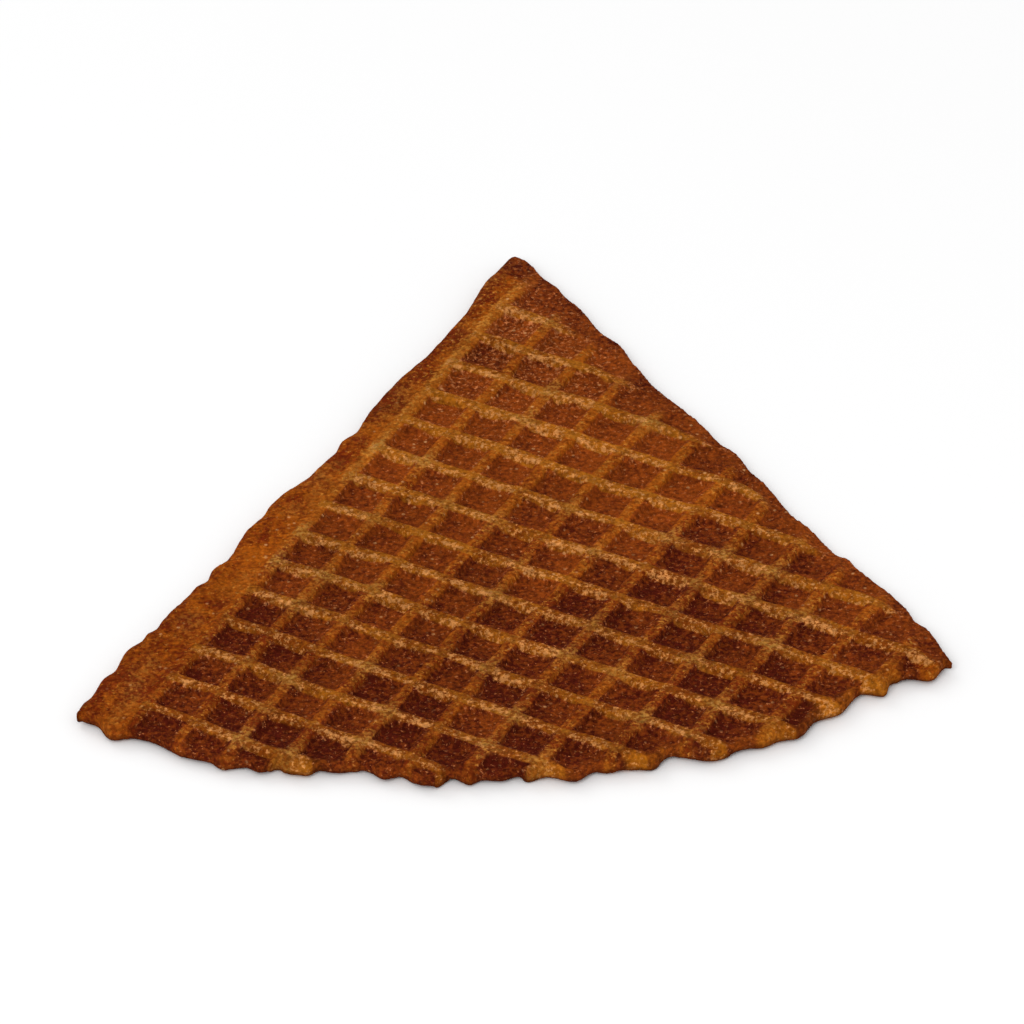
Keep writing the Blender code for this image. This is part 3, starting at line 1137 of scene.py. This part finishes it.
    def _rim(self, border: np.ndarray, flat: np.ndarray, place: np.ndarray, upper: np.ndarray,
             lower: np.ndarray, bake: dict[str, np.ndarray]) -> tuple[np.ndarray, np.ndarray, dict]:
        """Rings of points round the edge and the strips between them.

        Each point of the sheet's border has an outermost point on the outline, at its own place blurred along
        the run, so that the lines between them fan out into the corners. Each ring lies on those lines at the
        profile's inset and height.

        Args:
            border: Numbers of the points on the sheet's border, in order.
            flat: Plan points of the sheet.
            place: Place of each border point along the outline, in steps.
            upper: Upper heights in mm.
            lower: Lower heights in mm.
            bake: Bake shares of the sheet by name.

        Returns:
            Points, quads and bake shares of the rim.
        """
        rim, count, sheet = self.rim, len(border), len(flat)
        straight = np.arange(count) * len(self.outline.curve) / count
        even = closed_blur(place - straight, rim.fan_out) + straight
        inner, outer = flat[border], self.outline.at(even, 0.0)
        run = even * self.outline.step / MM
        middle, half = (upper[border] + lower[border]) / 2, (upper[border] - lower[border]) / 2
        rings, shares = [], {name: [] for name in bake}
        for inset, up, out in zip(*rim.profile()):
            rough = 1.0 + rim.rough_fine.at(run, np.full(count, up)) + rim.rough_long.at(run, run)
            share = inset + rim.rough * rough * out
            ring = outer + (inner - outer) * share[:, None]
            rings.append(np.column_stack([ring, (middle + half * up) * MM]))
            for name in bake:
                # The lower part of the rim is darker.
                least = rim.darker_foot.at(up) if name == "edge" else 0.0
                shares[name].append(np.maximum(bake[name][border], least))
        levels = [border] + [np.arange(count) + 2 * sheet + k * count for k in range(rim.rings)]
        levels += [border + sheet]
        quads = [np.stack([np.roll(high, -1), high, low, np.roll(low, -1)], axis=1)
                 for high, low in zip(levels, levels[1:])]
        joined = {name: np.concatenate(values) for name, values in shares.items()}
        return np.concatenate(rings), np.concatenate(quads), joined

    def _object(self, points: np.ndarray, faces: np.ndarray, bake: dict[str, np.ndarray]) -> bpy.types.Object:
        """Puts points, quads and bake attributes into a mesh, centred on the CAD box.

        Args:
            points: Points measured from the tip, on the ground at height 0.
            faces: Quads as point numbers.
            bake: Share of each point by attribute name.

        Returns:
            The wafer's object.
        """
        low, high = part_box(NODE)
        middle = (self.outline.curve.min(axis=0) + self.outline.curve.max(axis=0)) / 2
        points[:, 0] += (low.x + high.x) / 2 - middle[0]
        points[:, 1] += (low.y + high.y) / 2 - middle[1]
        points[:, 2] += low.z
        mesh = bpy.data.meshes.new("wafer_crust")
        mesh.from_pydata(points, [], faces)
        for name, share in bake.items():
            mesh.attributes.new(name, "FLOAT", "POINT").data.foreach_set("value", share.astype(np.float32))
        mesh.shade_smooth()
        mesh.update()
        wafer = bpy.data.objects.new("wafer_crust", mesh)
        bpy.context.scene.collection.objects.link(wafer)
        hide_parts(NODE)
        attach(wafer, BODY)
        return wafer


class NodeBoard:
    """Short ways to add and join nodes of one node tree."""

    def __init__(self, tree: bpy.types.NodeTree) -> None:
        """Keeps the tree that nodes are added to."""
        self.tree = tree

    def add(self, kind: str, **settings: object) -> bpy.types.Node:
        """A new node of a kind, with its settings.

        Args:
            kind: The node's type.
            **settings: Values of the node's own settings.

        Returns:
            The node.
        """
        node = self.tree.nodes.new(kind)
        for name, value in settings.items():
            setattr(node, name, value)
        return node

    def feed(self, socket: bpy.types.NodeSocket, value: object) -> None:
        """Links a socket into another, or sets its value if it is a number or colour.

        Args:
            socket: The input to feed.
            value: A socket, a number or a colour.
        """
        if isinstance(value, bpy.types.NodeSocket):
            self.tree.links.new(value, socket)
        else:
            socket.default_value = value

    def share(self, name: str) -> bpy.types.NodeSocket:
        """A bake share of the mesh."""
        return self.add("ShaderNodeAttribute", attribute_name=name).outputs["Fac"]

    def sums(self, operation: str, first: object, second: object, third: object = 0.0,
             clamp: bool = False) -> bpy.types.NodeSocket:
        """Result of one sum on up to three numbers.

        Args:
            operation: What to do with the numbers.
            first: First number or socket.
            second: Second number or socket.
            third: Third number or socket.
            clamp: Whether the result is held between 0 and 1.

        Returns:
            The result.
        """
        node = self.add("ShaderNodeMath", operation=operation, use_clamp=clamp)
        for socket, value in zip(node.inputs, (first, second, third)):
            self.feed(socket, value)
        return node.outputs[0]

    def noise(self, place: bpy.types.NodeSocket, size: float, detail: float,
              roughness: float) -> bpy.types.NodeSocket:
        """Noise from 0 to 1 whose blotches are about a size in metres.

        Args:
            place: Coordinates to read.
            size: Size of a blotch in metres.
            detail: Number of octaves.
            roughness: Strength of the finer octaves.

        Returns:
            The noise.
        """
        node = self.add("ShaderNodeTexNoise")
        self.feed(node.inputs["Vector"], place)
        self.feed(node.inputs["Scale"], 1.0 / size)
        self.feed(node.inputs["Detail"], detail)
        self.feed(node.inputs["Roughness"], roughness)
        return node.outputs["Fac"]

    def cells(self, place: bpy.types.NodeSocket,
              size: float) -> tuple[bpy.types.NodeSocket, bpy.types.NodeSocket]:
        """Random cells of about a size in metres: a draw from 0 to 1 for each, and how far its middle is.

        Args:
            place: Coordinates to read.
            size: Size of a cell in metres.

        Returns:
            The cell's draw and the distance from its middle.
        """
        node = self.add("ShaderNodeTexVoronoi")
        self.feed(node.inputs["Vector"], place)
        self.feed(node.inputs["Scale"], 1.0 / size)
        draw = self.add("ShaderNodeSeparateColor")
        self.feed(draw.inputs[0], node.outputs["Color"])
        return draw.outputs[0], node.outputs["Distance"]

    def ramp(self, value: bpy.types.NodeSocket, ramp: Ramp) -> bpy.types.NodeSocket:
        """A ramp read at a value.

        Args:
            value: What the ramp reads.
            ramp: The ramp.

        Returns:
            The ramp's value.
        """
        node = self.add("ShaderNodeMapRange", interpolation_type="SMOOTHSTEP")
        limits = {"From Min": ramp.low, "From Max": ramp.high, "To Min": ramp.start, "To Max": ramp.end}
        for name, number in limits.items():
            self.feed(node.inputs[name], number)
        self.feed(node.inputs["Value"], value)
        return node.outputs["Result"]

    def blend(self, share: object, first: object, second: object, mode: str = "MIX") -> bpy.types.NodeSocket:
        """Two colours mixed by a share.

        Args:
            share: Share of the second colour.
            first: First colour.
            second: Second colour.
            mode: How they are mixed.

        Returns:
            The mixed colour.
        """
        node = self.add("ShaderNodeMix", data_type="RGBA", blend_type=mode)
        colours = [(*value, 1.0) if isinstance(value, tuple) else value for value in (first, second)]
        for socket, value in zip((node.inputs[0], node.inputs[6], node.inputs[7]), (share, *colours)):
            self.feed(socket, value)
        return node.outputs[2]

    def shade(self, colour: bpy.types.NodeSocket, value: bpy.types.NodeSocket) -> bpy.types.NodeSocket:
        """A colour times a number.

        Args:
            colour: The colour.
            value: The number.

        Returns:
            The shaded colour.
        """
        grey = self.add("ShaderNodeCombineColor")
        for socket in grey.inputs:
            self.feed(socket, value)
        return self.blend(1.0, colour, grey.outputs[0], "MULTIPLY")


@dataclass(frozen=True)
class Grain:
    """One layer of the crust's grain: size of its blotches in metres, detail and roughness."""

    size: float
    detail: float
    roughness: float = 0.55


@dataclass(frozen=True)
class BakedCrust:
    """Finish of the dry, grainy crust: brown pockets with painted shade, tan ridges with painted highlight on
    the rows, pale specks and painted glints, gold and dark edges.
    """

    pocket_light: Colour = linear(131, 59, 15)
    pocket_dark: Colour = linear(70, 19, 8)
    crust_light: Colour = linear(148, 73, 11)
    crust_dark: Colour = linear(100, 33, 6)
    # Painted highlight: paler colours for the rows' near sides, which face the key light.
    lit_row_light: Colour = linear(150, 86, 18)
    lit_row_dark: Colour = linear(110, 50, 8)
    crumb: Colour = linear(194, 130, 72)
    gold_crumb: Colour = linear(178, 114, 42)
    floor_crumb: Colour = linear(184, 112, 66)
    gold: Colour = linear(164, 94, 18)
    frost: Colour = linear(160, 112, 50)
    scorch: Colour = linear(70, 26, 8)
    # Pale specks: sugar specks and painted glints.
    speck_and_glint: Colour = linear(214, 158, 104)
    fine: Grain = Grain(0.42 * MM, 2.0, 0.6)
    grain: Grain = Grain(0.9 * MM, 3.0, 0.65)
    mottle: Grain = Grain(3.2 * MM, 3.0)
    patch: Grain = Grain(13.0 * MM, 3.0)
    tone: Grain = Grain(0.55 * MM, 2.0, 0.7)
    crumb_grain: Grain = Grain(0.5 * MM, 3.0, 0.75)
    granule_size: float = 0.34 * MM
    speck_size: float = 0.62 * MM
    tone_shift: Ramp = Ramp(0.3, 0.7, -0.5, 0.5)
    mottle_weight: float = 0.9
    mean: float = 0.45
    floor_tone: float = 0.75
    ridge_tone: float = 0.8
    share_start: Ramp = Ramp(0.25, 0.75)
    row_broken: float = 0.08
    column_broken: float = 0.12
    gold_tone: Ramp = Ramp(-0.3, 0.3, 1.0, 0.65)
    frost_tone: Ramp = Ramp(-0.3, 0.2, 1.0, 0.2)
    crumb_weight: float = 0.3
    crumb_start: Ramp = Ramp(0.62, 0.76, 0.0, 0.85)
    pits: Ramp = Ramp(0.28, 0.42, 0.72, 1.0)
    edge_weight: float = 0.85
    fine_shade: Ramp = Ramp(0.3, 0.7, 0.77, 1.23)
    granule_shade: Ramp = Ramp(0.0, 1.0, 0.84, 1.16)
    patch_shade: Ramp = Ramp(0.3, 0.7, 0.9, 1.1)
    speck_above: float = 0.93
    speck_spot: Ramp = Ramp(0.16, 0.42, 0.6, 0.0)
    speck_places: Ramp = Ramp(0.3, 0.6)
    speck_pale: float = 1.15
    roughness: Ramp = Ramp(0.3, 0.7, 0.84, 0.62)
    specular: float = 0.012
    bump_grain: float = 1.4
    bump_strength: float = 0.75
    bump_height: float = 0.16 * MM

    def material(self) -> bpy.types.Material:
        """Builds the node material.

        Returns:
            The crust material.
        """
        material = bpy.data.materials.new("baked_crust")
        material.use_nodes = True
        board = NodeBoard(material.node_tree)
        surface = material.node_tree.nodes["Principled BSDF"]
        place = board.add("ShaderNodeTexCoord").outputs["Object"]
        fine, grain = self._noise(board, place, self.fine), self._noise(board, place, self.grain)
        board.feed(surface.inputs["Base Color"], self._colour(board, place, fine, grain))
        board.feed(surface.inputs["Roughness"], board.ramp(grain, self.roughness))
        surface.inputs["Specular IOR Level"].default_value = self.specular
        board.feed(surface.inputs["Normal"], self._bump(board, fine, grain))
        return material

    @staticmethod
    def _noise(board: NodeBoard, place: bpy.types.NodeSocket, grain: Grain) -> bpy.types.NodeSocket:
        """Noise of one layer of grain."""
        return board.noise(place, grain.size, grain.detail, grain.roughness)

    def _colour(self, board: NodeBoard, place: bpy.types.NodeSocket, fine: bpy.types.NodeSocket,
                grain: bpy.types.NodeSocket) -> bpy.types.NodeSocket:
        """Colour from the bake shares, broken up by grain.

        Args:
            board: The material's nodes.
            place: Object coordinates.
            fine: Noise of single crumbs.
            grain: Noise of groups of crumbs.

        Returns:
            The colour socket.
        """
        mottle = self._noise(board, place, self.mottle)
        tone = board.ramp(self._noise(board, place, self.tone), self.tone_shift)
        dark = self._mottled(board, mottle, board.share("dark"))
        floor_dark = board.sums("MULTIPLY_ADD", tone, self.floor_tone, dark, clamp=True)
        ridge_dark = self._mottled(board, mottle, dark)
        ridge_dark = board.sums("MULTIPLY_ADD", tone, self.ridge_tone, ridge_dark, clamp=True)
        pocket = board.blend(floor_dark, self.pocket_light, self.pocket_dark)
        crust = board.blend(ridge_dark, self.crust_light, self.crust_dark)
        # Painted highlight: the rows' near sides take the paler row colours.
        row = board.blend(ridge_dark, self.lit_row_light, self.lit_row_dark)
        on_row = self._broken(board, "row", grain, self.row_broken)
        on_column = self._broken(board, "column", grain, self.column_broken)
        colour = board.blend(on_row, board.blend(on_column, pocket, crust), row)
        veils = (("gold", self.gold_tone, self.gold), ("frost", self.frost_tone, self.frost))
        for name, by_tone, veil in veils:
            share = board.sums("MULTIPLY", board.share(name), board.ramp(tone, by_tone), clamp=True)
            colour = board.blend(share, colour, veil)
        crumbs = self._noise(board, place, self.crumb_grain)
        crumbs = board.sums("MULTIPLY_ADD", board.share("crumb"), self.crumb_weight, crumbs)
        crumb = board.blend(on_row, board.blend(on_column, self.floor_crumb, self.gold_crumb), self.crumb)
        colour = board.blend(board.ramp(crumbs, self.crumb_start), colour, crumb)
        colour = board.shade(colour, board.ramp(grain, self.pits))
        edge = board.sums("MULTIPLY", board.share("edge"), self.edge_weight, clamp=True)
        colour = board.blend(edge, colour, self.scorch)
        granule, _ = board.cells(place, self.granule_size)
        patch = self._noise(board, place, self.patch)
        shades = ((fine, self.fine_shade), (granule, self.granule_shade), (patch, self.patch_shade))
        for value, ramp in shades:
            colour = board.shade(colour, board.ramp(value, ramp))
        # Pale specks, partly sugar and partly painted glints, fewer where the crust is darker.
        paler = board.sums("SUBTRACT", self.speck_pale, floor_dark)
        specks = board.sums("MULTIPLY", self._specks_and_glints(board, place, mottle), paler)
        return board.blend(specks, colour, self.speck_and_glint)

    def _mottled(self, board: NodeBoard, mottle: bpy.types.NodeSocket,
                 dark: bpy.types.NodeSocket) -> bpy.types.NodeSocket:
        """A dark share with the mottle laid over it, about its mean."""
        return board.sums("MULTIPLY_ADD", mottle, self.mottle_weight, board.sums("SUBTRACT", dark, self.mean))

    def _broken(self, board: NodeBoard, name: str, grain: bpy.types.NodeSocket,
                strength: float) -> bpy.types.NodeSocket:
        """A bake share whose borders are broken up by grain."""
        share = board.sums("SUBTRACT", board.share(name), strength / 2)
        return board.ramp(board.sums("MULTIPLY_ADD", grain, strength, share), self.share_start)

    def _specks_and_glints(self, board: NodeBoard, place: bpy.types.NodeSocket,
                mottle: bpy.types.NodeSocket) -> bpy.types.NodeSocket:
        """Share of pale specks, sugar specks and painted glints: the middles of a few of many small random
        cells.

        Args:
            board: The material's nodes.
            place: Object coordinates.
            mottle: Noise of a few millimetres.

        Returns:
            The share.
        """
        draw, distance = board.cells(place, self.speck_size)
        chosen = board.sums("GREATER_THAN", draw, self.speck_above)
        spot, places = board.ramp(distance, self.speck_spot), board.ramp(mottle, self.speck_places)
        return board.sums("MULTIPLY", chosen, board.sums("MULTIPLY", spot, places))

    def _bump(self, board: NodeBoard, fine: bpy.types.NodeSocket,
              grain: bpy.types.NodeSocket) -> bpy.types.NodeSocket:
        """Normal of the crumbs: the two grains added as one height.

        Args:
            board: The material's nodes.
            fine: Noise of single crumbs.
            grain: Noise of groups of crumbs.

        Returns:
            The normal socket.
        """
        bump = board.add("ShaderNodeBump")
        bump.inputs["Strength"].default_value = self.bump_strength
        bump.inputs["Distance"].default_value = self.bump_height
        board.feed(bump.inputs["Height"], board.sums("MULTIPLY_ADD", grain, self.bump_grain, fine))
        return bump.outputs["Normal"]


@dataclass(frozen=True)
class SoftLight:
    """A square soft light that looks at the wafer.

    It stands at an azimuth, in degrees counter-clockwise from +X, an elevation in degrees and a distance.
    Size is the side of the square, and power is in watts.
    """

    name: str
    azimuth: float
    elevation: float
    distance: float
    size: float
    power: float

    def build(self) -> None:
        """Adds the light."""
        turn, lift = math.radians(self.azimuth), math.radians(self.elevation)
        away = Vector((math.cos(turn) * math.cos(lift), math.sin(turn) * math.cos(lift), math.sin(lift)))
        light = bpy.data.lights.new(self.name, "AREA")
        light.size = self.size
        light.energy = self.power
        lamp = bpy.data.objects.new(self.name, light)
        lamp.location = away * self.distance
        lamp.rotation_mode = "QUATERNION"
        lamp.rotation_quaternion = (-away).to_track_quat("-Z", "Y")
        bpy.context.scene.collection.objects.link(lamp)


@dataclass
class Studio:
    """Pale floor, soft lights and the camera."""

    floor_size: float = 6.0
    floor_colour: Colour = (0.95, 0.95, 0.95)
    floor_roughness: float = 0.9
    floor_specular: float = 0.1
    ambient: float = 0.78
    lights: tuple[SoftLight, ...] = (
        SoftLight("key", azimuth=252.0, elevation=42.0, distance=1.1, size=0.55, power=4.4),
        SoftLight("back", azimuth=125.0, elevation=38.0, distance=1.2, size=0.5, power=1.5),
    )
    elevation: float = math.radians(36.08)
    azimuth: float = math.radians(0.69)
    distance: float = 1.312
    lens: float = 425.0
    sensor: float = 36.0
    clip_start: float = 0.01
    clip_end: float = 20.0

    def build(self) -> None:
        """Adds everything of the studio."""
        self._floor()
        self._world()
        for light in self.lights:
            light.build()
        self._camera()
        bpy.context.scene.view_settings.view_transform = "Standard"

    def _floor(self) -> None:
        """A flat pale floor under the wafer."""
        half = self.floor_size / 2
        corners = [(x, y, CAD_LOW.z) for x, y in ((-half, -half), (half, -half), (half, half), (-half, half))]
        mesh = bpy.data.meshes.new("floor")
        mesh.from_pydata(corners, [], [(0, 1, 2, 3)])
        material = bpy.data.materials.new("floor_paint")
        material.use_nodes = True
        surface = material.node_tree.nodes["Principled BSDF"]
        surface.inputs["Base Color"].default_value = (*self.floor_colour, 1.0)
        surface.inputs["Roughness"].default_value = self.floor_roughness
        surface.inputs["Specular IOR Level"].default_value = self.floor_specular
        mesh.materials.append(material)
        floor = bpy.data.objects.new("floor", mesh)
        bpy.context.scene.collection.objects.link(floor)

    def _world(self) -> None:
        """Even white light from all round."""
        world = bpy.data.worlds.new("soft_room")
        world.use_nodes = True
        background = world.node_tree.nodes["Background"]
        background.inputs["Color"].default_value = (1.0, 1.0, 1.0, 1.0)
        background.inputs["Strength"].default_value = self.ambient
        bpy.context.scene.world = world

    def _camera(self) -> None:
        """A long lens that looks down on the wafer from just left of its middle line."""
        back = Vector((
            -math.sin(self.azimuth) * math.cos(self.elevation),
            -math.cos(self.azimuth) * math.cos(self.elevation),
            math.sin(self.elevation),
        ))
        data = bpy.data.cameras.new("camera")
        data.lens = self.lens
        data.sensor_width = self.sensor
        data.clip_start = self.clip_start
        data.clip_end = self.clip_end
        camera = bpy.data.objects.new("camera", data)
        camera.location = (CAD_LOW + CAD_HIGH) / 2 + back * self.distance
        camera.rotation_mode = "QUATERNION"
        camera.rotation_quaternion = (-back).to_track_quat("-Z", "Y")
        bpy.context.scene.collection.objects.link(camera)
        bpy.context.scene.camera = camera


def main() -> None:
    """Builds the wafer, its finish and the studio."""
    logging.basicConfig(level=logging.INFO)
    wafer = WaferSheet().build()
    wafer.data.materials.append(BakedCrust().material())
    LOG.info("%s: %d points, %d faces", wafer.name, len(wafer.data.vertices), len(wafer.data.polygons))
    Studio().build()


if __name__ == "__main__":
    main()
